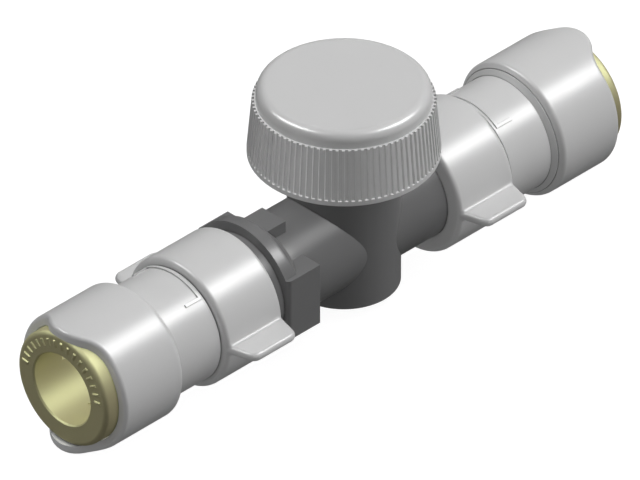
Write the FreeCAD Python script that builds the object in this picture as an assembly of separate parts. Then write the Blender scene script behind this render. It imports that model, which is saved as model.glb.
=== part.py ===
import FreeCAD, Part
import math
import os

# Isolating valve for 15 mm pipe: a moulded body with a screw-down washer valve under a
# round knurled knob, and a push-fit pipe connector held on each arm by a wing nut.
# Millimetres. The pipe runs along X and the spindle along Z; they cross at the origin.

# Running fits and small gaps
RUNNING_GAP = 0.10
SHAFT_GAP = 0.05
SEAL_GAP = 0.03
AXIAL_GAP = 0.10
COLLET_GAP = 0.15

# Moulded body
ARM_RADIUS = 10.45
WATERWAY_RADIUS = 6.5
LEFT_ARM_END = 38.5
RIGHT_ARM_END = 26.9
THREAD_LENGTH = 7.7
THREAD_DEPTH = 0.85
ARM_END_CHAMFER = 0.5
BARREL_RADIUS = 11.2
BARREL_WALL = 3.2
BARREL_BOTTOM = 11.9
BARREL_FLOOR = 2.4
BARREL_TOP = 22.0
SEAT_WEB_TOP = 1.0
SEAT_WEB = 2.5
SEAT_HOLE_RADIUS = 4.5
SEAT_LIP_WIDTH = 1.1
SEAT_LIP_HEIGHT = 0.8
CHAMBER_SIDE_WALL = 2.2

# Flange and spanner lugs on the left arm
FLANGE_STANDOFF = 10.6
FLANGE_RADIUS = 13.7
FLANGE_RIM = 2.9
FLANGE_RIM_ROUND = 1.5
FLANGE_CONE = 2.9
BOSS_RADIUS = 11.55
BOSS_GAP = 0.3
LUG_LENGTH = 8.6
LUG_CORNER_ROUND = 0.9
SIDE_LUG_REACH = 12.75
SIDE_LUG_HALF_HEIGHT = 6.9
TOP_LUG_REACH = 12.55
TOP_LUG_HALF_WIDTH = 3.24

# Headwork: bonnet, spindle, plunger and washer
BONNET_RADIUS = 8.75
BONNET_BOTTOM = 8.5
BONNET_HEAD = 3.0
BONNET_HEAD_FLATS = 18.2
GUIDE_FLATS = 10.6
SPINDLE_RADIUS = 3.9
SPINDLE_COLLAR_RADIUS = 5.2
SPINDLE_COLLAR = 1.4
COLLAR_SHOULDER = 18.05
SPINDLE_SCREW_RADIUS = 2.95
SPINDLE_SCREW_END = 9.0
DRIVE_SQUARE = 5.4
DRIVE_LENGTH = 4.8
CLIP_THICKNESS = 0.8
CLIP_RADIUS = 5.2
CLIP_GROOVE_DEPTH = 0.6
SPINDLE_SEAL_SECTION = 1.0
SPINDLE_SEAL_PITCH = 2.4
BONNET_SEAL_SECTION = 1.36
PLUNGER_LIFT = 3.0
PLUNGER_DISC_RADIUS = 6.9
PLUNGER_DISC = 1.7
PLUNGER_CUP_DEPTH = 1.0
PLUNGER_LENGTH = 9.8
PLUNGER_FLOOR = 1.0
WASHER_RADIUS = 6.0
WASHER_THICKNESS = 2.8
NUB_RADIUS = 1.5
NUB_HEAD_RADIUS = 2.4
NUB_HEAD = 0.85

# Knob
KNOB_RIM_RADIUS = 19.0
KNOB_RIM_Z = 18.2
KNOB_LIP = 1.0
KNURL_HEIGHT = 11.3
KNURL_TOP_RADIUS = 18.0
KNURL_COUNT = 90
KNURL_TURN = 0.5
KNURL_DEPTH = 0.5
KNURL_LAND_SHARE = 0.42
KNURL_FLOOR_SHARE = 0.5
KNURL_LEDGE = 0.3
COLLAR_HEIGHT = 3.3
COLLAR_ROUND = 2.0
KNOB_WALL = 2.0
HUB_RADIUS = 6.2
RIB_COUNT = 6
RIB_THICKNESS = 1.2
RIB_DEPTH = 4.0

# Wing nut, measured from the end face of the arm, outward positive
NUT_INNER_FACE = -8.7
NUT_LENGTH = 15.2
NUT_PLAY = 0.8
NUT_RADIUS = 13.85
NUT_ROUND = 1.0
NUT_END_WALL = 2.0
WING_REACH = 19.7
WING_HALF_THICKNESS = 0.95
WING_INSET = 1.85
WING_ROUND = 2.0
WING_EDGE_ROUND = 0.9
WING_ROOT_ROUND = 0.9
RETAINER_WIDTH = 1.2
RETAINER_REACH = 1.1
RETAINER_GROOVE_DEPTH = 0.85
RETAINER_OPENING = 3.0

# Connector body
JOINT_WASHER = 1.9
TAIL_RADIUS = 8.0
TAIL_BORE_RADIUS = 6.2
SWIVEL_GAP = 0.1
NECK_RADIUS = 12.2
NECK_ROUND = 0.15
PIPE_STOP = 10.0
PIPE_BORE_RADIUS = 7.7
SEAL_SHOULDER = 20.0
SEAL_CHAMBER_RADIUS = 10.4
SOCKET_MOUTH = 29.5
CAP_THREAD_START = 21.9
CAP_THREAD_DEPTH = 0.7
MARK_START = 8.3
MARK_TICK = 3.6
MARK_WIDTH = 0.6
MARK_HEIGHT = 0.3
MARK_HALF_ANGLE = 36.0

# Pieces inside the socket
PIPE_SEAL_SECTION = 3.0
SPACER_LENGTH = 2.6
SPACER_BORE_GAP = 0.1
GRIP_SHEET = 0.4
GRIP_TIP_RADIUS = 7.4
GRIP_RIM_INNER = 9.3
GRIP_DISH = 1.2
GRIP_TEETH = 10
GRIP_SLOT = 1.2
SLEEVE_WALL = 0.9

# End cap
CAP_BACK = 18.4
CAP_SHOULDER = 1.8
CAP_SHOULDER_ROUND = 1.0
CAP_RADIUS = 14.45
CAP_SEAM_WIDTH = 0.3
CAP_SEAM_DEPTH = 0.25
CAP_SKIRT_GAP = 0.1
CAP_WALL_INNER_FACE = 31.3
CAP_WALL = 2.0
CAP_RECESS_RADIUS = 12.5
CAP_VALLEY = 35.5
CAP_LOBE = 3.8
CAP_LOBE_HALF_WIDTH = 9.6
CAP_LIP_ROUND = 0.9

# Collet
COLLET_FACE = 38.7
COLLET_FLANGE_RADIUS = 12.3
COLLET_FACE_ROUND = 1.0
COLLET_TUBE_RADIUS = 8.7
COLLET_BEAD_RADIUS = 9.3
COLLET_BEAD = 1.2
COLLET_NOSE_TAPER = 0.9
COLLET_MOUTH_CHAMFER = 0.3
COLLET_SLOTS = 4
COLLET_SLOT_WIDTH = 1.5
COLLET_SLOT_LENGTH = 3.7
COLLET_TRAVEL = 1.5

# Places that follow from the sizes above
CHAMBER_RADIUS = BARREL_RADIUS - BARREL_WALL
CHAMBER_FLOOR = BARREL_FLOOR - BARREL_BOTTOM
SEAT_WEB_BOTTOM = SEAT_WEB_TOP - SEAT_WEB
SEAT_FACE = SEAT_WEB_TOP + SEAT_LIP_HEIGHT
WATERWAY_WALL_X = CHAMBER_RADIUS + CHAMBER_SIDE_WALL
FLANGE_FRONT = LEFT_ARM_END - FLANGE_STANDOFF
LUG_END = FLANGE_FRONT - LUG_LENGTH
BOSS_FRONT = LEFT_ARM_END + NUT_INNER_FACE + NUT_PLAY - BOSS_GAP
BONNET_TOP = BARREL_TOP + BONNET_HEAD
WASHER_FACE = SEAT_FACE + PLUNGER_LIFT
CUP_FLOOR = WASHER_FACE + WASHER_THICKNESS
CUP_RIM = CUP_FLOOR - PLUNGER_CUP_DEPTH
PLUNGER_DISC_TOP = CUP_RIM + PLUNGER_DISC
PLUNGER_TOP = CUP_RIM + PLUNGER_LENGTH
COLLAR_TOP = COLLAR_SHOULDER - SHAFT_GAP
COLLAR_BOTTOM = COLLAR_TOP - SPINDLE_COLLAR
CLIP_BOTTOM = BONNET_TOP + AXIAL_GAP
DRIVE_BOTTOM = CLIP_BOTTOM + CLIP_THICKNESS + 2 * AXIAL_GAP
DRIVE_TOP = DRIVE_BOTTOM + DRIVE_LENGTH
HUB_BOTTOM = DRIVE_BOTTOM + 2 * AXIAL_GAP
KNURL_BOTTOM = KNOB_RIM_Z + KNOB_LIP
KNURL_TOP = KNURL_BOTTOM + KNURL_HEIGHT
KNOB_TOP = KNURL_TOP + COLLAR_HEIGHT
KNOB_CEILING = KNOB_TOP - KNOB_WALL
KNURL_GROOVE_SHARE = 1 - KNURL_DEPTH / KNOB_RIM_RADIUS
COLLAR_RADIUS = KNURL_TOP_RADIUS * KNURL_GROOVE_SHARE - KNURL_LEDGE
NUT_OUTER_FACE = NUT_INNER_FACE + NUT_LENGTH
NUT_WALL_FACE = NUT_OUTER_FACE - NUT_END_WALL
NUT_BORE_RADIUS = ARM_RADIUS + RUNNING_GAP
TAIL_END = JOINT_WASHER + SHAFT_GAP
RETAINER_OUTER_FACE = NUT_WALL_FACE - AXIAL_GAP
RETAINER_INNER_FACE = RETAINER_OUTER_FACE - RETAINER_WIDTH
NECK_START = NUT_OUTER_FACE + NUT_PLAY + SWIVEL_GAP
CAP_THREAD_RADIUS = NECK_RADIUS - CAP_THREAD_DEPTH
SEAL_OUTER_RADIUS = SEAL_CHAMBER_RADIUS - SHAFT_GAP
SPACER_START = SEAL_SHOULDER + PIPE_SEAL_SECTION + AXIAL_GAP
SPACER_END = SPACER_START + SPACER_LENGTH
GRIP_START = SPACER_END + AXIAL_GAP
GRIP_END = GRIP_START + GRIP_SHEET
SLEEVE_START = GRIP_END + AXIAL_GAP
SLEEVE_END = CAP_WALL_INNER_FACE - AXIAL_GAP
RECESS_FLOOR = CAP_WALL_INNER_FACE + CAP_WALL
BEAD_FACE = CAP_WALL_INNER_FACE - 2 * AXIAL_GAP
COLLET_FLANGE_BACK = RECESS_FLOOR + COLLET_TRAVEL + 3 * AXIAL_GAP
NOSE_RADIUS = (PIPE_BORE_RADIUS + COLLET_TUBE_RADIUS) / 2
GRIP_SLOPE = GRIP_DISH / (GRIP_RIM_INNER - GRIP_TIP_RADIUS)
COLLET_NOSE = GRIP_END - GRIP_SLOPE * (GRIP_RIM_INNER - NOSE_RADIUS) + COLLET_TRAVEL + 3 * AXIAL_GAP

ALONG_X = FreeCAD.Vector(1, 0, 0)
ALONG_Y = FreeCAD.Vector(0, 1, 0)
ALONG_Z = FreeCAD.Vector(0, 0, 1)
CENTRE = FreeCAD.Vector(0, 0, 0)
OVERCUT = 1.0
ON_SURFACE = 0.01


def flat_face(corners, across=ALONG_X, up=ALONG_Z):
    """Closed flat face. Each corner is (a, b) or (a, b, round), and a round is a tangent arc."""
    places = [across * corner[0] + up * corner[1] for corner in corners]
    rounds = [corner[2] if len(corner) > 2 else 0.0 for corner in corners]
    count = len(corners)
    starts = []
    ends = []
    arcs = []
    for i in range(count):
        here = places[i]
        back = (places[i - 1] - here).normalize()
        ahead = (places[(i + 1) % count] - here).normalize()
        if rounds[i] <= 0:
            starts.append(here)
            ends.append(here)
            arcs.append(None)
            continue
        half_angle = back.getAngle(ahead) / 2
        tangent = rounds[i] / math.tan(half_angle)
        middle = (back + ahead).normalize() * (rounds[i] / math.sin(half_angle) - rounds[i])
        starts.append(here + back * tangent)
        ends.append(here + ahead * tangent)
        arcs.append(Part.Arc(starts[i], here + middle, ends[i]).toShape())
    edges = []
    for i in range(count):
        if arcs[i] is not None:
            edges.append(arcs[i])
        following = starts[(i + 1) % count]
        if ends[i].distanceToPoint(following) > 1e-6:
            edges.append(Part.LineSegment(ends[i], following).toShape())
    return Part.Face(Part.Wire(edges))


def turned(corners, axis=ALONG_X, angle=360.0):
    """Solid of revolution of an outline given in the XZ plane."""
    return flat_face(corners).revolve(CENTRE, axis, angle)


def tube_along_x(start, end, outer, inner=0.0):
    corners = [(start, inner), (end, inner), (end, outer), (start, outer)]
    return turned(corners)


def drum_along_z(bottom, top, outer, inner=0.0):
    corners = [(inner, bottom), (outer, bottom), (outer, top), (inner, top)]
    return turned(corners, ALONG_Z)


def hexagon_prism(flats, bottom, top):
    corner_radius = flats / 2 / math.cos(math.radians(30))
    corners = []
    for i in range(6):
        angle = math.radians(60 * i)
        corners.append((corner_radius * math.cos(angle), corner_radius * math.sin(angle)))
    face = flat_face(corners, ALONG_X, ALONG_Y)
    face.translate(ALONG_Z * bottom)
    return face.extrude(ALONG_Z * (top - bottom))


def centred_block(x_low, x_high, half_y, half_z):
    corner = FreeCAD.Vector(x_low, -half_y, -half_z)
    return Part.makeBox(x_high - x_low, 2 * half_y, 2 * half_z, corner)


def ring_of_round_section(section, outer_radius, place, axis):
    """O-ring whose outer edge lies at outer_radius and whose middle lies at place on the axis."""
    ring_radius = outer_radius - section / 2
    ring = Part.makeTorus(ring_radius, section / 2)
    if axis == ALONG_X:
        ring.rotate(CENTRE, ALONG_Y, 90)
    ring.translate(axis * place)
    return ring


def arm_outside(end):
    """One arm from the centre outward along +X, with the reduced core of its thread."""
    thread_start = end - THREAD_LENGTH
    core = ARM_RADIUS - THREAD_DEPTH
    corners = [
        (0, 0),
        (end, 0),
        (end, core - ARM_END_CHAMFER),
        (end - ARM_END_CHAMFER, core),
        (thread_start + THREAD_DEPTH, core),
        (thread_start, ARM_RADIUS),
        (0, ARM_RADIUS),
    ]
    return turned(corners)


def spanner_block(half_height):
    """Block as wide as the side lugs, with its two front corners rounded as seen from above."""
    corners = [
        (-FLANGE_FRONT, -SIDE_LUG_REACH, LUG_CORNER_ROUND),
        (-LUG_END, -SIDE_LUG_REACH),
        (-LUG_END, SIDE_LUG_REACH),
        (-FLANGE_FRONT, SIDE_LUG_REACH, LUG_CORNER_ROUND),
    ]
    face = flat_face(corners, ALONG_X, ALONG_Y)
    face.translate(ALONG_Z * -half_height)
    return face.extrude(ALONG_Z * (2 * half_height))


def flange_with_lugs():
    """Flange on the left arm, a boss in front of it, and four lugs behind: two wide ones for a spanner."""
    cone_foot = FLANGE_FRONT - FLANGE_RIM - FLANGE_CONE
    corners = [
        (-FLANGE_FRONT, 0),
        (-FLANGE_FRONT, FLANGE_RADIUS),
        (FLANGE_RIM - FLANGE_FRONT, FLANGE_RADIUS, FLANGE_RIM_ROUND),
        (-cone_foot, ARM_RADIUS),
        (-cone_foot, 0),
    ]
    disc = turned(corners).common(spanner_block(FLANGE_RADIUS + OVERCUT))
    side_lugs = spanner_block(SIDE_LUG_HALF_HEIGHT)
    top_lugs = centred_block(-FLANGE_FRONT, -LUG_END, TOP_LUG_HALF_WIDTH, TOP_LUG_REACH)
    boss = tube_along_x(-BOSS_FRONT, FLANGE_RIM - FLANGE_FRONT, BOSS_RADIUS)
    return disc.fuse([side_lugs, top_lugs, boss])


def waterway(end, keep_above):
    """Bore of one arm along +X, and the half-height port that joins it to the barrel's chamber."""
    bore = tube_along_x(WATERWAY_WALL_X, end + OVERCUT, WATERWAY_RADIUS)
    port = tube_along_x(0, WATERWAY_WALL_X + OVERCUT, WATERWAY_RADIUS)
    half = Part.makeBox(2 * end, 2 * WATERWAY_RADIUS, WATERWAY_RADIUS)
    level = SEAT_WEB_TOP if keep_above else SEAT_WEB_BOTTOM - WATERWAY_RADIUS
    half.translate(FreeCAD.Vector(-end / 2, -WATERWAY_RADIUS, level))
    return bore.fuse(port.common(half))


def valve_body():
    """One moulding: barrel, two arms, flange, lugs, and the seat in a web across the barrel."""
    left_arm = arm_outside(LEFT_ARM_END).mirror(CENTRE, ALONG_X)
    right_arm = arm_outside(RIGHT_ARM_END)
    barrel = drum_along_z(-BARREL_BOTTOM, BARREL_TOP, BARREL_RADIUS)
    outside = barrel.fuse([left_arm, right_arm, flange_with_lugs()]).removeSplitter()
    lower_chamber = drum_along_z(CHAMBER_FLOOR, SEAT_WEB_BOTTOM, CHAMBER_RADIUS)
    upper_chamber = drum_along_z(SEAT_WEB_TOP, BONNET_BOTTOM, CHAMBER_RADIUS)
    bonnet_bore = drum_along_z(BONNET_BOTTOM - AXIAL_GAP, BARREL_TOP + OVERCUT,
                               BONNET_RADIUS + SHAFT_GAP)
    seat_hole = drum_along_z(SEAT_WEB_BOTTOM - OVERCUT, SEAT_FACE + OVERCUT, SEAT_HOLE_RADIUS)
    left_way = waterway(LEFT_ARM_END, False).mirror(CENTRE, ALONG_X)
    right_way = waterway(RIGHT_ARM_END, True)
    hollow = outside.cut([lower_chamber, upper_chamber, bonnet_bore, left_way, right_way])
    seat_lip = drum_along_z(SEAT_WEB_TOP - SEAT_WEB / 2, SEAT_FACE,
                            SEAT_HOLE_RADIUS + SEAT_LIP_WIDTH)
    return hollow.fuse(seat_lip).cut(seat_hole).removeSplitter()


def bonnet():
    """Screwed insert that closes the barrel, guides the plunger and carries the spindle."""
    groove_root = BONNET_RADIUS + SHAFT_GAP - BONNET_SEAL_SECTION - 2 * SEAL_GAP
    groove_bottom = BONNET_BOTTOM + BONNET_SEAL_SECTION
    groove_top = groove_bottom + BONNET_SEAL_SECTION + 2 * AXIAL_GAP
    corners = [
        (0, BONNET_BOTTOM),
        (BONNET_RADIUS, BONNET_BOTTOM),
        (BONNET_RADIUS, groove_bottom),
        (groove_root, groove_bottom),
        (groove_root, groove_top),
        (BONNET_RADIUS, groove_top),
        (BONNET_RADIUS, BARREL_TOP),
        (0, BARREL_TOP),
    ]
    plug = turned(corners, ALONG_Z)
    head = hexagon_prism(BONNET_HEAD_FLATS, BARREL_TOP, BONNET_TOP)
    guide = hexagon_prism(GUIDE_FLATS, BONNET_BOTTOM - OVERCUT, COLLAR_SHOULDER)
    shaft_bore = drum_along_z(COLLAR_SHOULDER - OVERCUT, BONNET_TOP + OVERCUT,
                              SPINDLE_RADIUS + SHAFT_GAP)
    return plug.fuse(head).cut([guide, shaft_bore]).removeSplitter()


def bonnet_seal():
    middle = BONNET_BOTTOM + 1.5 * BONNET_SEAL_SECTION + AXIAL_GAP
    return ring_of_round_section(BONNET_SEAL_SECTION, BONNET_RADIUS + SHAFT_GAP - SEAL_GAP,
                                 middle, ALONG_Z)


def spindle_seal_heights():
    """Heights of the middles of the two spindle seals, spread about the middle of their bore."""
    middle = (COLLAR_SHOULDER + BONNET_TOP) / 2
    return [middle - SPINDLE_SEAL_PITCH / 2, middle + SPINDLE_SEAL_PITCH / 2]


def spindle_seal(height):
    return ring_of_round_section(SPINDLE_SEAL_SECTION, SPINDLE_RADIUS + SHAFT_GAP - SEAL_GAP,
                                 height, ALONG_Z)


def spindle():
    """Turned spindle: screw below, collar under the bonnet, two seal grooves, square drive."""
    groove_root = SPINDLE_RADIUS + SHAFT_GAP - SPINDLE_SEAL_SECTION - 2 * SEAL_GAP
    groove_half = SPINDLE_SEAL_SECTION / 2 + AXIAL_GAP
    clip_root = SPINDLE_RADIUS - CLIP_GROOVE_DEPTH
    corners = [
        (0, SPINDLE_SCREW_END),
        (SPINDLE_SCREW_RADIUS, SPINDLE_SCREW_END),
        (SPINDLE_SCREW_RADIUS, COLLAR_BOTTOM),
        (SPINDLE_COLLAR_RADIUS, COLLAR_BOTTOM),
        (SPINDLE_COLLAR_RADIUS, COLLAR_TOP),
        (SPINDLE_RADIUS, COLLAR_TOP),
    ]
    for height in spindle_seal_heights():
        corners.append((SPINDLE_RADIUS, height - groove_half))
        corners.append((groove_root, height - groove_half))
        corners.append((groove_root, height + groove_half))
        corners.append((SPINDLE_RADIUS, height + groove_half))
    corners += [
        (SPINDLE_RADIUS, CLIP_BOTTOM - AXIAL_GAP / 2),
        (clip_root, CLIP_BOTTOM - AXIAL_GAP / 2),
        (clip_root, CLIP_BOTTOM + CLIP_THICKNESS + AXIAL_GAP / 2),
        (SPINDLE_RADIUS, CLIP_BOTTOM + CLIP_THICKNESS + AXIAL_GAP / 2),
        (SPINDLE_RADIUS, DRIVE_BOTTOM),
        (0, DRIVE_BOTTOM),
    ]
    shaft = turned(corners, ALONG_Z)
    half = DRIVE_SQUARE / 2
    drive = Part.makeBox(DRIVE_SQUARE, DRIVE_SQUARE, DRIVE_LENGTH,
                         FreeCAD.Vector(-half, -half, DRIVE_BOTTOM))
    return shaft.fuse(drive).removeSplitter()


def spindle_clip():
    """Spring clip in the spindle's groove, just above the bonnet."""
    inner = SPINDLE_RADIUS - CLIP_GROOVE_DEPTH + SHAFT_GAP
    ring = drum_along_z(CLIP_BOTTOM, CLIP_BOTTOM + CLIP_THICKNESS, CLIP_RADIUS, inner)
    opening = Part.makeBox(CLIP_RADIUS + OVERCUT, inner, 2 * CLIP_THICKNESS,
                           FreeCAD.Vector(0, -inner / 2, CLIP_BOTTOM - CLIP_THICKNESS / 2))
    return ring.cut(opening)


def plunger():
    """Hexagonal plunger that can't turn, with a cup and a nub below for the seat washer."""
    body = hexagon_prism(GUIDE_FLATS - 2 * RUNNING_GAP, CUP_FLOOR, PLUNGER_TOP)
    disc = drum_along_z(CUP_RIM, PLUNGER_DISC_TOP, PLUNGER_DISC_RADIUS)
    cup = drum_along_z(CUP_RIM - OVERCUT, CUP_FLOOR, WASHER_RADIUS + SHAFT_GAP)
    nub_corners = [
        (0, WASHER_FACE - SHAFT_GAP - NUB_HEAD),
        (NUB_RADIUS, WASHER_FACE - SHAFT_GAP - NUB_HEAD),
        (NUB_HEAD_RADIUS, WASHER_FACE - SHAFT_GAP),
        (NUB_RADIUS, WASHER_FACE - SHAFT_GAP),
        (NUB_RADIUS, CUP_FLOOR + PLUNGER_FLOOR / 2),
        (0, CUP_FLOOR + PLUNGER_FLOOR / 2),
    ]
    nub = turned(nub_corners, ALONG_Z)
    screw_bore = drum_along_z(CUP_FLOOR + PLUNGER_FLOOR, PLUNGER_TOP + OVERCUT,
                              SPINDLE_SCREW_RADIUS + SHAFT_GAP)
    return body.fuse(disc).cut([cup, screw_bore]).fuse(nub).removeSplitter()


def seat_washer():
    return drum_along_z(WASHER_FACE, CUP_FLOOR, WASHER_RADIUS, NUB_RADIUS + SHAFT_GAP)


def knurl_outline(radius, height):
    """Closed outline of the knurl at one height: a flat land and a flat-floored groove for each ridge."""
    groove_radius = radius * KNURL_GROOVE_SHARE
    pitch = 2 * math.pi / KNURL_COUNT
    half_land = pitch * KNURL_LAND_SHARE / 2
    half_floor = pitch * KNURL_FLOOR_SHARE / 2
    points = []
    for i in range(KNURL_COUNT):
        ridge = math.radians(KNURL_TURN) + i * pitch
        groove = ridge + pitch / 2
        for angle, reach in ((ridge - half_land, radius), (ridge + half_land, radius),
                             (groove - half_floor, groove_radius), (groove + half_floor, groove_radius)):
            points.append(FreeCAD.Vector(reach * math.cos(angle), reach * math.sin(angle), height))
    return Part.makePolygon(points + [points[0]])


def knob():
    """Hollow moulded knob with a knurled skirt, a plain lip, a rounded top and a ribbed hub."""
    skirt_inner = KNURL_TOP_RADIUS - KNURL_DEPTH - KNOB_WALL
    knurl = Part.makeLoft([knurl_outline(KNOB_RIM_RADIUS, KNURL_BOTTOM),
                           knurl_outline(KNURL_TOP_RADIUS, KNURL_TOP)], True, True)
    lip = drum_along_z(KNOB_RIM_Z, KNURL_BOTTOM, KNOB_RIM_RADIUS)
    collar_corners = [
        (0, KNURL_TOP),
        (COLLAR_RADIUS, KNURL_TOP),
        (COLLAR_RADIUS, KNOB_TOP, COLLAR_ROUND),
        (0, KNOB_TOP),
    ]
    collar = turned(collar_corners, ALONG_Z)
    solid = knurl.fuse([lip, collar])
    shell = solid.cut(drum_along_z(KNOB_RIM_Z - OVERCUT, KNOB_CEILING, skirt_inner))
    hub = drum_along_z(HUB_BOTTOM, KNOB_CEILING, HUB_RADIUS)
    inside = [hub]
    for i in range(RIB_COUNT):
        rib = Part.makeBox(skirt_inner, RIB_THICKNESS, RIB_DEPTH,
                           FreeCAD.Vector(0, -RIB_THICKNESS / 2, KNOB_CEILING - RIB_DEPTH))
        rib.rotate(CENTRE, ALONG_Z, 360.0 * i / RIB_COUNT)
        inside.append(rib)
    hole_side = DRIVE_SQUARE + 2 * SHAFT_GAP
    drive_hole = Part.makeBox(hole_side, hole_side, DRIVE_TOP + AXIAL_GAP - HUB_BOTTOM + OVERCUT,
                              FreeCAD.Vector(-hole_side / 2, -hole_side / 2, HUB_BOTTOM - OVERCUT))
    return shell.fuse(inside).cut(drive_hole).removeSplitter()


def wing():
    """Wing on the +Y side of a nut: a tapered plate with rounded corners and rims."""
    root = NUT_RADIUS - NUT_ROUND
    corners = [
        (NUT_INNER_FACE, root),
        (NUT_INNER_FACE + WING_INSET, WING_REACH, WING_ROUND),
        (NUT_OUTER_FACE - WING_INSET, WING_REACH, WING_ROUND),
        (NUT_OUTER_FACE, root),
    ]
    face = flat_face(corners, ALONG_X, ALONG_Y)
    face.translate(ALONG_Z * -WING_HALF_THICKNESS)
    plate = face.extrude(ALONG_Z * (2 * WING_HALF_THICKNESS))
    rims = [edge for edge in plate.Edges if abs(edge.CenterOfMass.z) > WING_HALF_THICKNESS / 2
            and edge.BoundBox.YMax > NUT_RADIUS]
    return plate.makeFillet(WING_EDGE_ROUND, rims)


def at_wing_root(edge):
    """True for a long edge along X where a wing's flat face meets the outside of the nut."""
    middle = edge.CenterOfMass
    on_nut = abs(math.hypot(middle.y, middle.z) - NUT_RADIUS) < ON_SURFACE
    on_face = abs(abs(middle.z) - WING_HALF_THICKNESS) < ON_SURFACE
    return on_nut and on_face and edge.BoundBox.XLength > NUT_LENGTH / 2


def wing_nut():
    """Swivel nut with two wings; its end wall pulls on the retaining ring of the connector."""
    wall_bore = TAIL_RADIUS + RUNNING_GAP
    corners = [
        (NUT_INNER_FACE, NUT_BORE_RADIUS),
        (NUT_WALL_FACE, NUT_BORE_RADIUS),
        (NUT_WALL_FACE, wall_bore),
        (NUT_OUTER_FACE, wall_bore),
        (NUT_OUTER_FACE, NUT_RADIUS, NUT_ROUND),
        (NUT_INNER_FACE, NUT_RADIUS, NUT_ROUND),
    ]
    near_wing = wing()
    far_wing = near_wing.mirror(CENTRE, ALONG_Y)
    nut_with_wings = turned(corners).fuse([near_wing, far_wing]).removeSplitter()
    roots = [edge for edge in nut_with_wings.Edges if at_wing_root(edge)]
    return nut_with_wings.makeFillet(WING_ROOT_ROUND, roots)


def nut_retainer():
    """Split spring ring in the groove of the connector's tail."""
    inner = TAIL_RADIUS - RETAINER_GROOVE_DEPTH + SHAFT_GAP
    outer = TAIL_RADIUS + RETAINER_REACH
    ring = tube_along_x(RETAINER_INNER_FACE, RETAINER_OUTER_FACE, outer, inner)
    opening = Part.makeBox(2 * RETAINER_WIDTH, RETAINER_OPENING, outer + OVERCUT,
                           FreeCAD.Vector(RETAINER_INNER_FACE - RETAINER_WIDTH / 2,
                                          -RETAINER_OPENING / 2, -outer - OVERCUT))
    return ring.cut(opening)


def joint_washer():
    outer = ARM_RADIUS - THREAD_DEPTH - ARM_END_CHAMFER
    return tube_along_x(SHAFT_GAP, JOINT_WASHER, outer, WATERWAY_RADIUS)


def depth_mark():
    """Raised line across the top of the neck with a tick at each end."""
    low = NECK_RADIUS - MARK_HEIGHT
    high = NECK_RADIUS + MARK_HEIGHT
    near = MARK_START - MARK_WIDTH / 2
    far = MARK_START + MARK_WIDTH / 2
    corners = [(near, low), (far, low), (far, high), (near, high)]
    line = turned(corners, ALONG_X, 2 * MARK_HALF_ANGLE)
    line.rotate(CENTRE, ALONG_X, -MARK_HALF_ANGLE)
    tick_corners = [(near, low), (far + MARK_TICK, low), (far + MARK_TICK, high), (near, high)]
    tick_angle = math.degrees(MARK_WIDTH / NECK_RADIUS)
    ticks = []
    for side in (-1, 1):
        tick = turned(tick_corners, ALONG_X, tick_angle)
        tick.rotate(CENTRE, ALONG_X, side * MARK_HALF_ANGLE - tick_angle / 2)
        ticks.append(tick)
    return line.fuse(ticks)


def connector_body():
    """Moulded socket: grooved tail inside the nut, neck, pipe bore and seal chamber."""
    groove_root = TAIL_RADIUS - RETAINER_GROOVE_DEPTH
    corners = [
        (TAIL_END, TAIL_BORE_RADIUS),
        (TAIL_END, TAIL_RADIUS),
        (RETAINER_INNER_FACE - AXIAL_GAP / 2, TAIL_RADIUS),
        (RETAINER_INNER_FACE - AXIAL_GAP / 2, groove_root),
        (RETAINER_OUTER_FACE + AXIAL_GAP / 2, groove_root),
        (RETAINER_OUTER_FACE + AXIAL_GAP / 2, TAIL_RADIUS),
        (NECK_START, TAIL_RADIUS),
        (NECK_START, NECK_RADIUS, NECK_ROUND),
        (CAP_THREAD_START, NECK_RADIUS),
        (CAP_THREAD_START, CAP_THREAD_RADIUS),
        (SOCKET_MOUTH, CAP_THREAD_RADIUS),
        (SOCKET_MOUTH, SEAL_CHAMBER_RADIUS),
        (SEAL_SHOULDER, SEAL_CHAMBER_RADIUS),
        (SEAL_SHOULDER, PIPE_BORE_RADIUS),
        (PIPE_STOP, PIPE_BORE_RADIUS),
        (PIPE_STOP, TAIL_BORE_RADIUS),
    ]
    return turned(corners).fuse(depth_mark()).removeSplitter()


def pipe_seal():
    return ring_of_round_section(PIPE_SEAL_SECTION, SEAL_OUTER_RADIUS,
                                 SEAL_SHOULDER + AXIAL_GAP / 2 + PIPE_SEAL_SECTION / 2, ALONG_X)


def seal_spacer():
    """Hard ring between the seal and the teeth, dished to leave room for the teeth."""
    bore = PIPE_BORE_RADIUS + SPACER_BORE_GAP
    corners = [
        (SPACER_START, bore),
        (SPACER_END - GRIP_DISH, bore),
        (SPACER_END, GRIP_RIM_INNER),
        (SPACER_END, SEAL_OUTER_RADIUS),
        (SPACER_START, SEAL_OUTER_RADIUS),
    ]
    return turned(corners)


def grip_ring():
    """Dished steel ring cut into teeth that slope inward against a pipe."""
    corners = [
        (GRIP_START, GRIP_RIM_INNER),
        (GRIP_START, SEAL_OUTER_RADIUS),
        (GRIP_END, SEAL_OUTER_RADIUS),
        (GRIP_END, GRIP_RIM_INNER),
        (GRIP_END - GRIP_DISH, GRIP_TIP_RADIUS),
        (GRIP_START - GRIP_DISH, GRIP_TIP_RADIUS),
    ]
    ring = turned(corners)
    cuts = []
    for i in range(GRIP_TEETH):
        slot = Part.makeBox(2 * GRIP_DISH + 2 * GRIP_SHEET, GRIP_SLOT, GRIP_RIM_INNER,
                            FreeCAD.Vector(GRIP_START - 2 * GRIP_DISH + GRIP_SHEET, -GRIP_SLOT / 2, 0))
        slot.rotate(CENTRE, ALONG_X, 360.0 * i / GRIP_TEETH)
        cuts.append(slot)
    return ring.cut(cuts)


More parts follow.
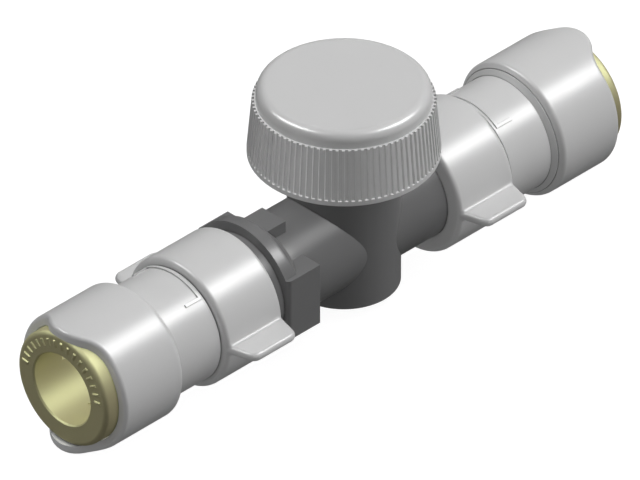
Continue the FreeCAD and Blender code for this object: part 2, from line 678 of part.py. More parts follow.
def grip_sleeve():
    """Plain sleeve through which the end cap holds the toothed ring down."""
    return tube_along_x(SLEEVE_START, SLEEVE_END, SEAL_OUTER_RADIUS, SEAL_OUTER_RADIUS - SLEEVE_WALL)


def cap_edge_trim():
    """Block whose end follows the wavy edge: a smooth lobe in the middle, low at both sides."""
    half = CAP_LOBE_HALF_WIDTH
    bend = (half ** 2 + CAP_LOBE ** 2) / (4 * CAP_LOBE)
    side = CAP_RADIUS + OVERCUT
    low = CAP_VALLEY
    high = CAP_VALLEY + CAP_LOBE
    turn_x = high - bend + math.sqrt(bend ** 2 - half ** 2 / 16)
    foot_x = low + bend - math.sqrt(bend ** 2 - half ** 2 / 16)
    middle_x = (low + high) / 2
    place = FreeCAD.Vector
    edges = [
        Part.LineSegment(place(0, -side, 0), place(low, -side, 0)),
        Part.LineSegment(place(low, -side, 0), place(low, -half, 0)),
        Part.Arc(place(low, -half, 0), place(foot_x, -0.75 * half, 0), place(middle_x, -half / 2, 0)),
        Part.Arc(place(middle_x, -half / 2, 0), place(high, 0, 0), place(middle_x, half / 2, 0)),
        Part.Arc(place(middle_x, half / 2, 0), place(foot_x, 0.75 * half, 0), place(low, half, 0)),
        Part.LineSegment(place(low, half, 0), place(low, side, 0)),
        Part.LineSegment(place(low, side, 0), place(0, side, 0)),
        Part.LineSegment(place(0, side, 0), place(0, -side, 0)),
    ]
    face = Part.Face(Part.Wire([edge.toShape() for edge in edges]))
    face.translate(ALONG_Z * -side)
    return face.extrude(ALONG_Z * (2 * side))


def cap_seam(foot, head):
    """Three corners of the fine V groove half-way up the cap's back shoulder."""
    run = head[0] - foot[0]
    rise = head[1] - foot[1]
    length = math.hypot(run, rise)
    along = (run / length, rise / length)
    middle = ((foot[0] + head[0]) / 2, (foot[1] + head[1]) / 2)
    half = CAP_SEAM_WIDTH / 2
    return [
        (middle[0] - along[0] * half, middle[1] - along[1] * half),
        (middle[0] + along[1] * CAP_SEAM_DEPTH, middle[1] - along[0] * CAP_SEAM_DEPTH),
        (middle[0] + along[0] * half, middle[1] + along[1] * half),
    ]


def end_cap():
    """Screwed cap with a sloping back shoulder and a front edge that rises in two lobes."""
    skirt_bore = NECK_RADIUS + CAP_SKIRT_GAP
    thread_bore = CAP_THREAD_RADIUS + RUNNING_GAP
    wall_bore = COLLET_TUBE_RADIUS + COLLET_GAP
    foot = (CAP_BACK, skirt_bore)
    shoulder_head = (CAP_BACK + CAP_SHOULDER, CAP_RADIUS)
    top = CAP_VALLEY + CAP_LOBE + OVERCUT
    corners = [
        foot,
        *cap_seam(foot, shoulder_head),
        (*shoulder_head, CAP_SHOULDER_ROUND),
        (top, CAP_RADIUS),
        (top, CAP_RECESS_RADIUS),
        (RECESS_FLOOR, CAP_RECESS_RADIUS),
        (RECESS_FLOOR, wall_bore),
        (CAP_WALL_INNER_FACE, wall_bore),
        (CAP_WALL_INNER_FACE, thread_bore),
        (CAP_THREAD_START + AXIAL_GAP, thread_bore),
        (CAP_THREAD_START + AXIAL_GAP, skirt_bore),
    ]
    cap = turned(corners).common(cap_edge_trim())
    outer_rims = [e for e in cap.Edges if on_front_edge(e, CAP_RADIUS)]
    return cap.makeFillet(CAP_LIP_ROUND, outer_rims)


def on_front_edge(edge, radius):
    """True for an edge of the cap's wavy front that lies on the given radius."""
    middle = edge.valueAt((edge.FirstParameter + edge.LastParameter) / 2)
    spread = edge.BoundBox
    on_radius = abs(math.hypot(middle.y, middle.z) - radius) < ON_SURFACE
    return middle.x > CAP_VALLEY - ON_SURFACE and on_radius and spread.XMin > CAP_VALLEY - ON_SURFACE


def collet():
    """Release collet: flanged face, tube with slotted legs, and a bead behind the cap's wall."""
    corners = [
        (COLLET_NOSE, PIPE_BORE_RADIUS),
        (COLLET_NOSE, NOSE_RADIUS),
        (COLLET_NOSE + COLLET_NOSE_TAPER, COLLET_TUBE_RADIUS),
        (BEAD_FACE - COLLET_BEAD, COLLET_TUBE_RADIUS),
        (BEAD_FACE - COLLET_BEAD / 2, COLLET_BEAD_RADIUS),
        (BEAD_FACE, COLLET_BEAD_RADIUS),
        (BEAD_FACE, COLLET_TUBE_RADIUS),
        (COLLET_FLANGE_BACK, COLLET_TUBE_RADIUS),
        (COLLET_FLANGE_BACK, COLLET_FLANGE_RADIUS),
        (COLLET_FACE, COLLET_FLANGE_RADIUS, COLLET_FACE_ROUND),
        (COLLET_FACE, PIPE_BORE_RADIUS + COLLET_MOUTH_CHAMFER),
        (COLLET_FACE - COLLET_MOUTH_CHAMFER, PIPE_BORE_RADIUS),
    ]
    body = turned(corners)
    cuts = []
    for i in range(COLLET_SLOTS):
        slot = Part.makeBox(COLLET_SLOT_LENGTH + OVERCUT, COLLET_SLOT_WIDTH, COLLET_FLANGE_RADIUS,
                            FreeCAD.Vector(COLLET_NOSE - OVERCUT, -COLLET_SLOT_WIDTH / 2, 0))
        slot.rotate(CENTRE, ALONG_X, 360.0 * i / COLLET_SLOTS)
        cuts.append(slot)
    return body.cut(cuts)


def on_right(shape):
    placed = shape.copy()
    placed.translate(ALONG_X * RIGHT_ARM_END)
    return placed


def on_left(shape):
    placed = shape.mirror(CENTRE, ALONG_X)
    placed.translate(ALONG_X * -LEFT_ARM_END)
    return placed


def write(name, shape):
    """Save one piece, as a single solid where it is one."""
    solids = shape.Solids
    piece = solids[0] if len(solids) == 1 else shape
    if len(solids) != 1 or not piece.isValid():
        print("check", name, "solids", len(solids), "valid", piece.isValid())
    piece.exportStep("parts/" + name + ".step")


os.makedirs("parts", exist_ok=True)

seal_low, seal_high = spindle_seal_heights()
write("valve_body", valve_body())
write("bonnet", bonnet())
write("bonnet_seal", bonnet_seal())
write("spindle", spindle())
write("spindle_seal_lower", spindle_seal(seal_low))
write("spindle_seal_upper", spindle_seal(seal_high))
write("spindle_clip", spindle_clip())
write("plunger", plunger())
write("seat_washer", seat_washer())
write("knob", knob())

# The nuts slide a little on their tails: the left one lies out at the neck, the right one in at its ring
nut = wing_nut()
nut_slid_out = nut.copy()
nut_slid_out.translate(ALONG_X * NUT_PLAY)
write("wing_nut_left", on_left(nut_slid_out))
write("wing_nut_right", on_right(nut))

side_pieces = {
    "nut_retainer": nut_retainer(),
    "joint_washer": joint_washer(),
    "connector_body": connector_body(),
    "pipe_seal": pipe_seal(),
    "seal_spacer": seal_spacer(),
    "grip_ring": grip_ring(),
    "grip_sleeve": grip_sleeve(),
    "end_cap": end_cap(),
    "collet": collet(),
}
for piece_name, piece_shape in side_pieces.items():
    write(piece_name + "_left", on_left(piece_shape))
    write(piece_name + "_right", on_right(piece_shape))
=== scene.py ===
import math

import bmesh
import bpy
from mathutils import Matrix, Vector


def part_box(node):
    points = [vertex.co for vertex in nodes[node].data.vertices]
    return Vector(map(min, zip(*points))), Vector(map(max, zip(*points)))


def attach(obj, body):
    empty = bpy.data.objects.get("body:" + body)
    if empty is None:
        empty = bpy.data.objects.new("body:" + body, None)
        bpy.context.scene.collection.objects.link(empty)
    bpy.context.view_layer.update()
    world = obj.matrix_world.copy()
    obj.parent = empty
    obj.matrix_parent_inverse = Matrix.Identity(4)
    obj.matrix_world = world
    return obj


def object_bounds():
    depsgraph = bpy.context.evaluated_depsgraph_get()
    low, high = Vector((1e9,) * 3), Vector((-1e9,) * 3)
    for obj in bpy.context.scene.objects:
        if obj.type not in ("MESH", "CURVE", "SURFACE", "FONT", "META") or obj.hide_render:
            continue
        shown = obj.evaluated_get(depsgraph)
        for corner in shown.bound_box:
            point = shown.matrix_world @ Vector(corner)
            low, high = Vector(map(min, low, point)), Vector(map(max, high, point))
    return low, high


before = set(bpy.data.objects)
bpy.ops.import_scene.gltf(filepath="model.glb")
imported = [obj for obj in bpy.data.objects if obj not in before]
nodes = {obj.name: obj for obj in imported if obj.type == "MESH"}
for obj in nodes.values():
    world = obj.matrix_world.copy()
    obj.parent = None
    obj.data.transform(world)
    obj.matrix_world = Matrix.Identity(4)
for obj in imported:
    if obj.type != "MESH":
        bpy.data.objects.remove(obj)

cad_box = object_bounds()


# Valve body. One injection moulding in dark grey glass-filled nylon: the barrel, both arms,
# the flange and its lugs came out of one tool with a fine satin, slightly mottled skin.
NOISE_LOW = 0.3
NOISE_HIGH = 0.7
EDGE_SAMPLES = 6
# Painted shade: an occlusion test darkens the colour in seams and narrow grooves, where shade falls.
PAINTED_SHADE_SAMPLES = 6
PAINTED_SHADE_SHUT = 0.15
PAINTED_SHADE_OPEN = 0.85
PAINTED_SHADE_DARKEST = 0.1
PAINTED_SHADE_REACH = 0.0007
MOULDED_EDGE = 0.00006
PLASTIC_IOR = 1.53
CLOUDS_PER_METRE = 90.0
CLOUD_SHARE = 0.008
PATCHES_PER_METRE = 260.0
PATCH_ROUGHNESS = 0.012
WAVES_PER_METRE = 420.0
WAVE_DEPTH = 0.000002
GRAIN_PER_METRE = 7000.0
GRAIN_DEPTH = 0.000002
BODY_GREY = (0.154, 0.154, 0.155)
BODY_ROUGHNESS = 0.29
BODY_REFLECTION = 0.34


def add_node(tree, kind, **settings):
    node = tree.nodes.new("ShaderNode" + kind)
    for name, value in settings.items():
        setattr(node, name, value)
    return node


def noise(tree, per_metre, detail=2.0):
    """Noise read in the object's own metres."""
    place = add_node(tree, "TexCoord")
    texture = add_node(tree, "TexNoise")
    texture.inputs["Scale"].default_value = per_metre
    texture.inputs["Detail"].default_value = detail
    tree.links.new(place.outputs["Object"], texture.inputs["Vector"])
    return texture.outputs["Fac"]


def ranged(tree, signal, start, end, low, high):
    """The signal from start to end, stretched to run from low to high."""
    span = add_node(tree, "MapRange")
    span.inputs["From Min"].default_value = start
    span.inputs["From Max"].default_value = end
    span.inputs["To Min"].default_value = low
    span.inputs["To Max"].default_value = high
    tree.links.new(signal, span.inputs["Value"])
    return span.outputs["Result"]


def spread(tree, signal, low, high):
    """The middle of a noise, stretched to run from low to high."""
    return ranged(tree, signal, NOISE_LOW, NOISE_HIGH, low, high)


def tone_between(tree, signal, dark, light):
    """Colour that runs from dark to light with the signal."""
    mix = add_node(tree, "Mix", data_type="RGBA")
    mix.inputs["A"].default_value = (*dark, 1.0)
    mix.inputs["B"].default_value = (*light, 1.0)
    tree.links.new(signal, mix.inputs["Factor"])
    return mix.outputs["Result"]


def relief(tree, height, depth, under=None):
    """Bump of the given depth in metres, laid over another normal if there is one."""
    bump = add_node(tree, "Bump")
    bump.inputs["Strength"].default_value = 1.0
    bump.inputs["Distance"].default_value = depth
    tree.links.new(height, bump.inputs["Height"])
    if under is not None:
        tree.links.new(under, bump.inputs["Normal"])
    return bump.outputs["Normal"]


def softened_edges(tree, radius):
    bevel = add_node(tree, "Bevel", samples=EDGE_SAMPLES)
    bevel.inputs["Radius"].default_value = radius
    return bevel.outputs["Normal"]


def painted_seam_shade(tree, colour, reach):
    """Painted shade: the colour darkened by up to nine tenths inside a seam or a sharp groove no wider
    than the reach.
    """
    crevice = add_node(tree, "AmbientOcclusion", samples=PAINTED_SHADE_SAMPLES)
    crevice.inputs["Distance"].default_value = reach
    shade = add_node(tree, "Mix", data_type="RGBA", blend_type="MULTIPLY")
    shade.inputs["Factor"].default_value = 1.0
    tree.links.new(colour, shade.inputs["A"])
    tree.links.new(ranged(tree, crevice.outputs["AO"], PAINTED_SHADE_SHUT, PAINTED_SHADE_OPEN, PAINTED_SHADE_DARKEST, 1.0),
                   shade.inputs["B"])
    return shade.outputs["Result"]


def new_material(name):
    made = bpy.data.materials.new(name)
    made.use_nodes = True
    return made, made.node_tree, made.node_tree.nodes["Principled BSDF"]


def shades_of(colour, share):
    """The colour a little darker and a little lighter."""
    return [c * (1 - share) for c in colour], [c * (1 + share) for c in colour]


def moulded_plastic(name, colour, roughness, reflection, edge=MOULDED_EDGE, seam=PAINTED_SHADE_REACH):
    """Satin moulded skin: faint flow clouds, a fine eroded grain, slight waves and painted shade in
    seams.
    """
    made, tree, shader = new_material(name)
    dark, light = shades_of(colour, CLOUD_SHARE)
    flow = spread(tree, noise(tree, CLOUDS_PER_METRE, detail=3.0), 0.0, 1.0)
    clouds = tone_between(tree, flow, dark, light)
    # The base colour carries painted shade in seams and grooves.
    tree.links.new(painted_seam_shade(tree, clouds, seam), shader.inputs["Base Color"])
    patches = noise(tree, PATCHES_PER_METRE, detail=3.0)
    tree.links.new(spread(tree, patches, roughness - PATCH_ROUGHNESS, roughness + PATCH_ROUGHNESS),
                   shader.inputs["Roughness"])
    waves = relief(tree, noise(tree, WAVES_PER_METRE), WAVE_DEPTH, softened_edges(tree, edge))
    grain = relief(tree, noise(tree, GRAIN_PER_METRE, detail=1.0), GRAIN_DEPTH, waves)
    tree.links.new(grain, shader.inputs["Normal"])
    shader.inputs["IOR"].default_value = PLASTIC_IOR
    shader.inputs["Specular IOR Level"].default_value = reflection
    return made


def finish_nodes(material, *names):
    for name in names:
        for holder in nodes[name].material_slots:
            holder.material = material


dark_nylon = moulded_plastic("dark_nylon", BODY_GREY, BODY_ROUGHNESS, BODY_REFLECTION)
finish_nodes(dark_nylon, "valve_body")


# Threads of the arms. Each arm ends in a moulded parallel thread for its wing nut, a ridge that
# winds a little over three and a half times round the arm's core and fades out at both ends.
MM = 0.001
SIDES = {"left": -1, "right": 1}
THREAD_PITCH = 1.814 * MM
THREAD_CORE = 9.55 * MM
THREAD_CREST = 10.40 * MM
THREAD_ROOT_HALF = 0.78 * MM
THREAD_CREST_HALF = 0.24 * MM
THREAD_TURNS = 3.6
THREAD_FADE_TURNS = 0.35
THREAD_TIP_SHARE = 0.2
THREAD_END_LAND = 1.1 * MM
STEPS_PER_TURN = 72


def finished_piece(name, bm, material, body):
    """Mesh object at the origin that moves with a body of the frame."""
    mesh = bpy.data.meshes.new(name)
    bm.to_mesh(mesh)
    bm.free()
    mesh.materials.append(material)
    piece = bpy.data.objects.new(name, mesh)
    bpy.context.scene.collection.objects.link(piece)
    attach(piece, body)
    return piece


def thread_ridge(name, side):
    """Ridge wound inward from near the end of one arm of the valve body."""
    low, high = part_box("valve_body")
    end = low.x if side < 0 else high.x
    start = end - side * THREAD_END_LAND
    bm = bmesh.new()
    ring = [bm.verts.new((start + x, 0.0, r)) for x, r in (
        (-THREAD_ROOT_HALF, THREAD_CORE), (-THREAD_CREST_HALF, THREAD_CREST),
        (THREAD_CREST_HALF, THREAD_CREST), (THREAD_ROOT_HALF, THREAD_CORE))]
    outline = [bm.edges.new((a, b)) for a, b in zip(ring, ring[1:] + ring[:1])]
    steps = round(THREAD_TURNS * STEPS_PER_TURN)
    step_angle = -side * 2 * math.pi / STEPS_PER_TURN
    bmesh.ops.spin(bm, geom=outline + ring, cent=(0, 0, 0), axis=(1, 0, 0), steps=steps,
                   dvec=(-side * THREAD_PITCH / STEPS_PER_TURN, 0, 0),
                   angle=step_angle * steps, use_merge=False)
    for vert in bm.verts:
        turns_in = (start - vert.co.x) * side / THREAD_PITCH
        turns_left = THREAD_TURNS - turns_in
        rise = max(0.0, min(1.0, turns_in / THREAD_FADE_TURNS + THREAD_TIP_SHARE,
                            turns_left / THREAD_FADE_TURNS + THREAD_TIP_SHARE))
        radius = math.hypot(vert.co.y, vert.co.z)
        wanted = THREAD_CORE + (radius - THREAD_CORE) * rise
        vert.co.y *= wanted / radius
        vert.co.z *= wanted / radius
    bmesh.ops.holes_fill(bm, edges=[e for e in bm.edges if e.is_boundary], sides=4)
    bmesh.ops.recalc_face_normals(bm, faces=bm.faces)
    # A coil can still come out of this inside out, and its volume is then negative.
    if bm.calc_volume(signed=True) < 0.0:
        bmesh.ops.reverse_faces(bm, faces=bm.faces)
    return finished_piece(name, bm, dark_nylon, "valve")


for side_name, side in SIDES.items():
    thread_ridge("arm_thread_" + side_name, side)


# Headwork. The bonnet and the plunger are turned from white acetal, the spindle from brass,
# and a lathe has left fine rings on them. The clip is stamped from spring steel strip, as are
# the rings that retain the nuts and the toothed rings of the sockets.
TURNED_EDGE = 0.0001
ACETAL_DARK = (0.76, 0.76, 0.73)
ACETAL_LIGHT = (0.82, 0.82, 0.80)
ACETAL_TONES_PER_METRE = 300.0
ACETAL_ROUGHNESS = (0.36, 0.46)
ACETAL_PATCHES_PER_METRE = 1500.0
ACETAL_RING_PITCH = 0.00016
ACETAL_RING_DEPTH = 0.0000025
BRASS_DARK = (0.66, 0.47, 0.19)
BRASS_LIGHT = (0.78, 0.60, 0.29)
BRASS_TONES_PER_METRE = 500.0
BRASS_ROUGHNESS = (0.20, 0.34)
BRASS_PATCHES_PER_METRE = 2200.0
BRASS_RING_PITCH = 0.00012
BRASS_RING_DEPTH = 0.000003
STEEL_DARK = (0.50, 0.50, 0.51)
STEEL_LIGHT = (0.66, 0.66, 0.68)
STEEL_ROUGHNESS = (0.24, 0.38)
STEEL_SCRATCHES_PER_METRE = (600.0, 9000.0, 600.0)
STEEL_SCRATCH_DEPTH = 0.000002
STEEL_EDGE = 0.00006


def turned_rings(tree, axis, pitch):
    """Fine rings round an axis: along the length on a barrel, round the middle on a face."""
    place = add_node(tree, "TexCoord")
    parts = add_node(tree, "SeparateXYZ")
    tree.links.new(place.outputs["Object"], parts.inputs["Vector"])
    flat = add_node(tree, "CombineXYZ")
    for name in "XYZ":
        if name != axis:
            tree.links.new(parts.outputs[name], flat.inputs[name])
    radius = add_node(tree, "VectorMath", operation="LENGTH")
    tree.links.new(flat.outputs["Vector"], radius.inputs[0])
    run = add_node(tree, "Math", operation="ADD")
    tree.links.new(radius.outputs["Value"], run.inputs[0])
    tree.links.new(parts.outputs[axis], run.inputs[1])
    turns = add_node(tree, "Math", operation="MULTIPLY")
    turns.inputs[1].default_value = 2 * math.pi / pitch
    tree.links.new(run.outputs["Value"], turns.inputs[0])
    ripple = add_node(tree, "Math", operation="SINE")
    tree.links.new(turns.outputs["Value"], ripple.inputs[0])
    return ripple.outputs["Value"]


def turned_acetal(name, axis):
    made, tree, shader = new_material(name)
    tone = spread(tree, noise(tree, ACETAL_TONES_PER_METRE), 0.0, 1.0)
    tree.links.new(tone_between(tree, tone, ACETAL_DARK, ACETAL_LIGHT), shader.inputs["Base Color"])
    patches = noise(tree, ACETAL_PATCHES_PER_METRE)
    tree.links.new(spread(tree, patches, *ACETAL_ROUGHNESS), shader.inputs["Roughness"])
    rings = turned_rings(tree, axis, ACETAL_RING_PITCH)
    tree.links.new(relief(tree, rings, ACETAL_RING_DEPTH, softened_edges(tree, TURNED_EDGE)),
                   shader.inputs["Normal"])
    return made


def turned_brass(name, axis):
    made, tree, shader = new_material(name)
    tone = spread(tree, noise(tree, BRASS_TONES_PER_METRE, detail=3.0), 0.0, 1.0)
    tree.links.new(tone_between(tree, tone, BRASS_DARK, BRASS_LIGHT), shader.inputs["Base Color"])
    shader.inputs["Metallic"].default_value = 1.0
    patches = noise(tree, BRASS_PATCHES_PER_METRE, detail=3.0)
    tree.links.new(spread(tree, patches, *BRASS_ROUGHNESS), shader.inputs["Roughness"])
    rings = turned_rings(tree, axis, BRASS_RING_PITCH)
    tree.links.new(relief(tree, rings, BRASS_RING_DEPTH, softened_edges(tree, TURNED_EDGE)),
                   shader.inputs["Normal"])
    return made


def spring_steel(name):
    """Cold-rolled strip: bright, with short fine scratches all one way."""
    made, tree, shader = new_material(name)
    place = add_node(tree, "TexCoord")
    stretched = add_node(tree, "Mapping")
    stretched.inputs["Scale"].default_value = STEEL_SCRATCHES_PER_METRE
    tree.links.new(place.outputs["Object"], stretched.inputs["Vector"])
    texture = add_node(tree, "TexNoise")
    texture.inputs["Scale"].default_value = 1.0
    texture.inputs["Detail"].default_value = 3.0
    tree.links.new(stretched.outputs["Vector"], texture.inputs["Vector"])
    scratches = texture.outputs["Fac"]
    tree.links.new(tone_between(tree, scratches, STEEL_DARK, STEEL_LIGHT), shader.inputs["Base Color"])
    shader.inputs["Metallic"].default_value = 1.0
    tree.links.new(spread(tree, scratches, *STEEL_ROUGHNESS), shader.inputs["Roughness"])
    tree.links.new(relief(tree, scratches, STEEL_SCRATCH_DEPTH, softened_edges(tree, STEEL_EDGE)),
                   shader.inputs["Normal"])
    return made


headwork_acetal = turned_acetal("headwork_acetal", "Z")
spindle_brass = turned_brass("spindle_brass", "Z")
clip_steel = spring_steel("clip_steel")
finish_nodes(headwork_acetal, "bonnet", "plunger")
finish_nodes(spindle_brass, "spindle")
finish_nodes(clip_steel, "spindle_clip", "nut_retainer_left", "nut_retainer_right",
             "grip_ring_left", "grip_ring_right")


# Seals and washers. Black rubber, moulded or cut from sheet: dull, faintly grainy and
# greyed where the grease has dried. They sit in grooves, under the plunger and between each
# arm and its connector.
RUBBER_DARK = (0.012, 0.012, 0.012)
RUBBER_LIGHT = (0.030, 0.030, 0.031)
RUBBER_BLOOM_PER_METRE = 700.0
RUBBER_ROUGHNESS = (0.48, 0.64)
RUBBER_PATCHES_PER_METRE = 1800.0
RUBBER_GRAIN_PER_METRE = 9000.0
RUBBER_GRAIN_DEPTH = 0.000008


def seal_rubber(name):
    made, tree, shader = new_material(name)
    bloom = spread(tree, noise(tree, RUBBER_BLOOM_PER_METRE, detail=4.0), 0.0, 1.0)
    tree.links.new(tone_between(tree, bloom, RUBBER_DARK, RUBBER_LIGHT), shader.inputs["Base Color"])
    patches = noise(tree, RUBBER_PATCHES_PER_METRE)
    tree.links.new(spread(tree, patches, *RUBBER_ROUGHNESS), shader.inputs["Roughness"])
    tree.links.new(relief(tree, noise(tree, RUBBER_GRAIN_PER_METRE), RUBBER_GRAIN_DEPTH),
                   shader.inputs["Normal"])
    return made


black_rubber = seal_rubber("black_rubber")
finish_nodes(black_rubber, "bonnet_seal", "spindle_seal_lower", "spindle_seal_upper", "seat_washer",
             "joint_washer_left", "joint_washer_right", "pipe_seal_left", "pipe_seal_right")


# Knob, wing nuts, connector bodies and end caps. All light grey acetal mouldings with a satin
# skin; the knob is a shade glossier, its edges are rounder and its grooves get less painted shade.
PALE_GREY = (0.555, 0.555, 0.555)
PALE_ROUGHNESS = 0.335
PALE_REFLECTION = 0.5
KNOB_GREY = (0.562, 0.562, 0.562)
KNOB_ROUGHNESS = 0.31
KNOB_REFLECTION = 0.7
KNOB_EDGE = 0.00010
# Reach of the painted shade in the knob's grooves and seams.
KNOB_PAINTED_SHADE_REACH = 0.00012

light_grey = moulded_plastic("light_grey", PALE_GREY, PALE_ROUGHNESS, PALE_REFLECTION)
knob_grey = moulded_plastic("knob_grey", KNOB_GREY, KNOB_ROUGHNESS, KNOB_REFLECTION,
                            edge=KNOB_EDGE, seam=KNOB_PAINTED_SHADE_REACH)
finish_nodes(knob_grey, "knob")
for side_name in SIDES:
    finish_nodes(light_grey, "wing_nut_" + side_name, "connector_body_" + side_name,
                 "end_cap_" + side_name)


# Inside each socket. The spacer and the sleeve are plain white turned rings that hold the
# seal and the toothed steel ring in their places round the pipe.
socket_acetal = turned_acetal("socket_acetal", "X")
for side_name in SIDES:
    finish_nodes(socket_acetal, "seal_spacer_" + side_name, "grip_sleeve_" + side_name)


# Collets. Olive acetal release rings; the pipe goes in through them. The face of each one
# carries a plain ring of short raised ticks over its upper half. A high refractive index with
# a yellow tint gives the plastic its broad, warm sheen.
TICK_RING_RADIUS = 10.1 * MM
TICK_LENGTH = 1.7 * MM
TICK_WIDTH = 0.70 * MM
TICK_HEIGHT = 0.30 * MM
TICK_ROUND_SHARE = 0.9
TICK_ROUND_STEPS = 3
TICK_SPACING = math.radians(10.0)
TICK_COUNT = 17
OLIVE = (0.246, 0.197, 0.133)
OLIVE_ROUGHNESS = 0.60
OLIVE_REFLECTION = 1.0
OLIVE_SHEEN_TINT = (0.96, 1.0, 0.55, 1.0)
OLIVE_IOR = 2.45

olive_acetal = moulded_plastic("olive_acetal", OLIVE, OLIVE_ROUGHNESS, OLIVE_REFLECTION)
olive_shader = olive_acetal.node_tree.nodes["Principled BSDF"]
olive_shader.inputs["Specular Tint"].default_value = OLIVE_SHEEN_TINT
olive_shader.inputs["IOR"].default_value = OLIVE_IOR


def tick_ring(name, side_name):
    """Short radial bars with rounded tops, half sunk into the outer face of one collet."""
    low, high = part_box("collet_" + side_name)
    sign = SIDES[side_name]
    face = low.x if sign < 0 else high.x
    bm = bmesh.new()
    for i in range(TICK_COUNT):
        angle = (i - (TICK_COUNT - 1) / 2) * TICK_SPACING
        made = bmesh.ops.create_cube(bm, size=1.0)["verts"]
        bmesh.ops.scale(bm, vec=(2 * TICK_HEIGHT, TICK_WIDTH, TICK_LENGTH), verts=made)
        tops = list({e for v in made for e in v.link_edges
                     if all(corner.co.x * sign > 0 for corner in e.verts)})
        bevelled = bmesh.ops.bevel(bm, geom=tops, offset=TICK_HEIGHT * TICK_ROUND_SHARE, affect="EDGES",
                                   segments=TICK_ROUND_STEPS, profile=0.5, material=-1)["verts"]
        verts = list({v for v in made if v.is_valid} | set(bevelled))
        bmesh.ops.translate(bm, vec=(face, 0.0, TICK_RING_RADIUS), verts=verts)
        bmesh.ops.rotate(bm, cent=(0, 0, 0), matrix=Matrix.Rotation(angle, 3, "X"), verts=verts)
    return finished_piece(name, bm, olive_acetal, "collet_" + side_name)


for side_name in SIDES:
    finish_nodes(olive_acetal, "collet_" + side_name)
    tick_ring("collet_ticks_" + side_name, side_name)


# Floor. Plain, white and level with the valve's lowest edge, so bright that hardly a shade
# shows on it; it is kept out of the reflections and of the light on the underside.
WHITE = (1.0, 1.0, 1.0, 1.0)
FLOOR_HALF = 9.0
FLOOR_GREY = 0.36
FLOOR_ROUGHNESS = 0.9
FLOOR_GLOW = 0.72

floor_bm = bmesh.new()
bmesh.ops.create_grid(floor_bm, x_segments=1, y_segments=1, size=FLOOR_HALF)
floor_mesh = bpy.data.meshes.new("floor")
floor_bm.to_mesh(floor_mesh)
floor_bm.free()
floor = bpy.data.objects.new("floor", floor_mesh)
floor.location.z = cad_box[0].z
bpy.context.scene.collection.objects.link(floor)
floor_paper, _, floor_shader = new_material("floor_paper")
floor_shader.inputs["Base Color"].default_value = (FLOOR_GREY, FLOOR_GREY, FLOOR_GREY, 1.0)
floor_shader.inputs["Roughness"].default_value = FLOOR_ROUGHNESS
floor_shader.inputs["Specular IOR Level"].default_value = 0.0
floor_shader.inputs["Emission Color"].default_value = WHITE
floor_shader.inputs["Emission Strength"].default_value = FLOOR_GLOW
floor_mesh.materials.append(floor_paper)
floor.visible_diffuse = False
floor.visible_glossy = False


# Light. A cube-shaped white tent lights the valve evenly and without shadows, inside a dim
# sky; two softboxes add light from the upper right and left, and two strips give the sheen.
SKY_ABOVE = 0.09
SKY_BELOW = 0.05
SKY_BLEND = 0.3
BACKDROP_GLOW = 1.0
BOX_DISTANCE = 2.4
TENT_SIDE = 2.0
TENT_WALLS = {"front": (0, -1, 0, 0.24), "back": (0, 1, 0, 0.20), "left": (-1, 0, 0, 0.25),
              "right": (1, 0, 0, 0.17), "roof": (0, 0, 1, 0.355), "base": (0, 0, -1, 0.20)}

world = bpy.data.worlds.new("studio")
bpy.context.scene.world = world
world.use_nodes = True
sky_tree = world.node_tree
sky_place = add_node(sky_tree, "TexCoord")
sky_parts = add_node(sky_tree, "SeparateXYZ")
sky_tree.links.new(sky_place.outputs["Generated"], sky_parts.inputs["Vector"])
sky_level = add_node(sky_tree, "MapRange", interpolation_type="SMOOTHSTEP")
sky_level.inputs["From Min"].default_value = -SKY_BLEND
sky_level.inputs["From Max"].default_value = SKY_BLEND
sky_level.inputs["To Min"].default_value = SKY_BELOW
sky_level.inputs["To Max"].default_value = SKY_ABOVE
sky_tree.links.new(sky_parts.outputs["Z"], sky_level.inputs["Value"])
sky = sky_tree.nodes["Background"]
sky_tree.links.new(sky_level.outputs["Result"], sky.inputs["Strength"])
sky.inputs["Color"].default_value = WHITE
backdrop = add_node(sky_tree, "Background")
backdrop.inputs["Strength"].default_value = BACKDROP_GLOW
backdrop.inputs["Color"].default_value = WHITE
sky_ray = add_node(sky_tree, "LightPath")
sky_choice = add_node(sky_tree, "MixShader")
sky_tree.links.new(sky_ray.outputs["Is Camera Ray"], sky_choice.inputs["Fac"])
sky_tree.links.new(sky.outputs["Background"], sky_choice.inputs[1])
sky_tree.links.new(backdrop.outputs["Background"], sky_choice.inputs[2])
sky_tree.links.new(sky_choice.outputs["Shader"], sky_tree.nodes["World Output"].inputs["Surface"])


def softbox(name, towards, along, level, length, width, shine):
    """Softbox whose light is level times a white sky's on a face turned to it; sides are shares of its
    distance. One with shine shows in reflections only, the others light without showing in them."""
    lamp = bpy.data.lights.new(name, "AREA")
    lamp.shape = "RECTANGLE"
    lamp.size = length * BOX_DISTANCE
    lamp.size_y = width * BOX_DISTANCE
    lamp.energy = level * math.pi ** 2 * BOX_DISTANCE ** 2
    lamp.use_shadow = False
    stand = bpy.data.objects.new(name, lamp)
    back = Vector(towards).normalized()
    side = (Vector(along) - back * back.dot(Vector(along))).normalized()
    turn = Matrix((side, back.cross(side), back)).transposed()
    stand.matrix_world = Matrix.Translation(back * BOX_DISTANCE) @ turn.to_4x4()
    stand.visible_diffuse = not shine
    stand.visible_glossy = shine
    bpy.context.scene.collection.objects.link(stand)


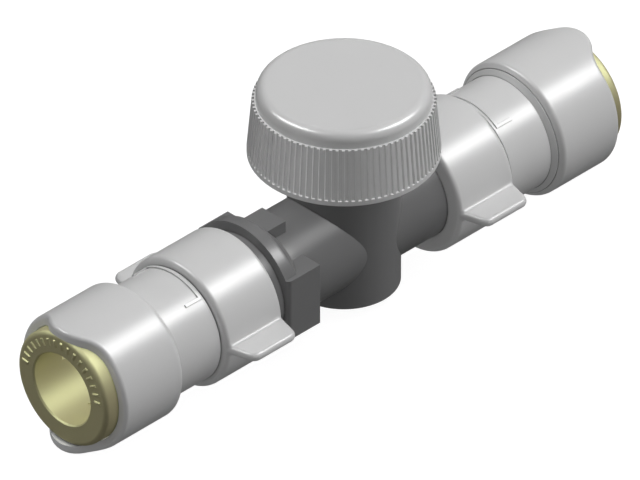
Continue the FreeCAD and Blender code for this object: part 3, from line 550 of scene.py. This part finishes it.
for wall, (x, y, z, glow) in TENT_WALLS.items():
    softbox("tent_" + wall, towards=(x, y, z), along=(y, z, x), level=glow * TENT_SIDE ** 2 / math.pi,
            length=TENT_SIDE, width=TENT_SIDE, shine=False)
softbox("body_light_right", towards=(0.577, -0.393, 0.716), along=(1.0, 0.0, 0.0),
        level=0.75, length=0.40, width=0.40, shine=False)
softbox("body_light_left", towards=(-0.393, 0.577, 0.716), along=(0.0, 1.0, 0.0),
        level=0.27, length=0.40, width=0.40, shine=False)
softbox("sheen_right", towards=(0.45, -0.445, 0.772), along=(0.885, 0.213, -0.414),
        level=0.84, length=0.62, width=0.27, shine=True)
softbox("sheen_left", towards=(-0.43, 0.45, 0.78), along=(0.213, 0.885, -0.414),
        level=0.9, length=0.62, width=0.25, shine=True)


# Camera. The view is a parallel one along a cube's diagonal, so a very long lens stands far off.
# The point where pipe and spindle cross is 23.9 pixels right of and 13.5 above the middle.
LENS = 1200.0
SENSOR = 36.0
PIXELS_WIDE = 640
PIXELS_PER_METRE = 5120.0
CROSSING = (343.9, 226.5)
FRAME_MIDDLE = (320.0, 240.0)
CLIP_IN_DISTANCES = 3

towards_camera = Vector((-1.0, -1.0, 1.0)).normalized()
picture_right = Vector((1.0, -1.0, 0.0)).normalized()
picture_up = towards_camera.cross(picture_right)
aim = (picture_right * (FRAME_MIDDLE[0] - CROSSING[0])
       - picture_up * (FRAME_MIDDLE[1] - CROSSING[1])) / PIXELS_PER_METRE
lens_distance = PIXELS_WIDE / PIXELS_PER_METRE * LENS / SENSOR
camera_data = bpy.data.cameras.new("camera")
camera_data.lens = LENS
camera_data.sensor_width = SENSOR
camera_data.clip_end = CLIP_IN_DISTANCES * lens_distance
camera = bpy.data.objects.new("camera", camera_data)
camera.location = aim + towards_camera * lens_distance
camera.rotation_mode = "QUATERNION"
camera.rotation_quaternion = towards_camera.to_track_quat("Z", "Y")
bpy.context.scene.collection.objects.link(camera)
bpy.context.scene.camera = camera
bpy.context.scene.view_settings.view_transform = "Standard"
